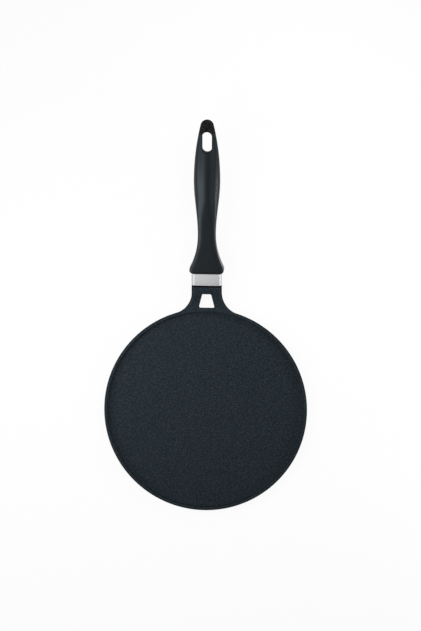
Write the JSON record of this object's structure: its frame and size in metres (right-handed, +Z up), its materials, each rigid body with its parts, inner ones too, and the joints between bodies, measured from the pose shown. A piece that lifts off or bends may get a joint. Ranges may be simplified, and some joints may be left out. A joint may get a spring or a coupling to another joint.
{
  "type": "tawa",
  "caption": "Flat round griddle pan with a low rim, a windowed cast neck, a steel ferrule and a waisted moulded handle with a hanging slot, for cooking flatbreads.",
  "frame": {"origin": "centre of the plate, on its underside", "axes": "+Z up out of the cooking face, +Y along the handle in plan"},
  "size_m": [0.25, 0.4808, 0.0524],
  "materials": {
    "coated_casting": "dark blue-grey non-stick coating with a fine grain",
    "ferrule_steel": "satin",
    "handle_moulding": "black satin phenolic moulding",
    "fastener_steel": "bright zinc plate"
  },
  "bodies": {
    "root": {"griddle_plate": "coated_casting", "ferrule": "ferrule_steel", "handle": "handle_moulding", "handle_screw": "fastener_steel", "spring_washer": "fastener_steel", "flat_washer": "fastener_steel"}
  },
  "joints": []
}
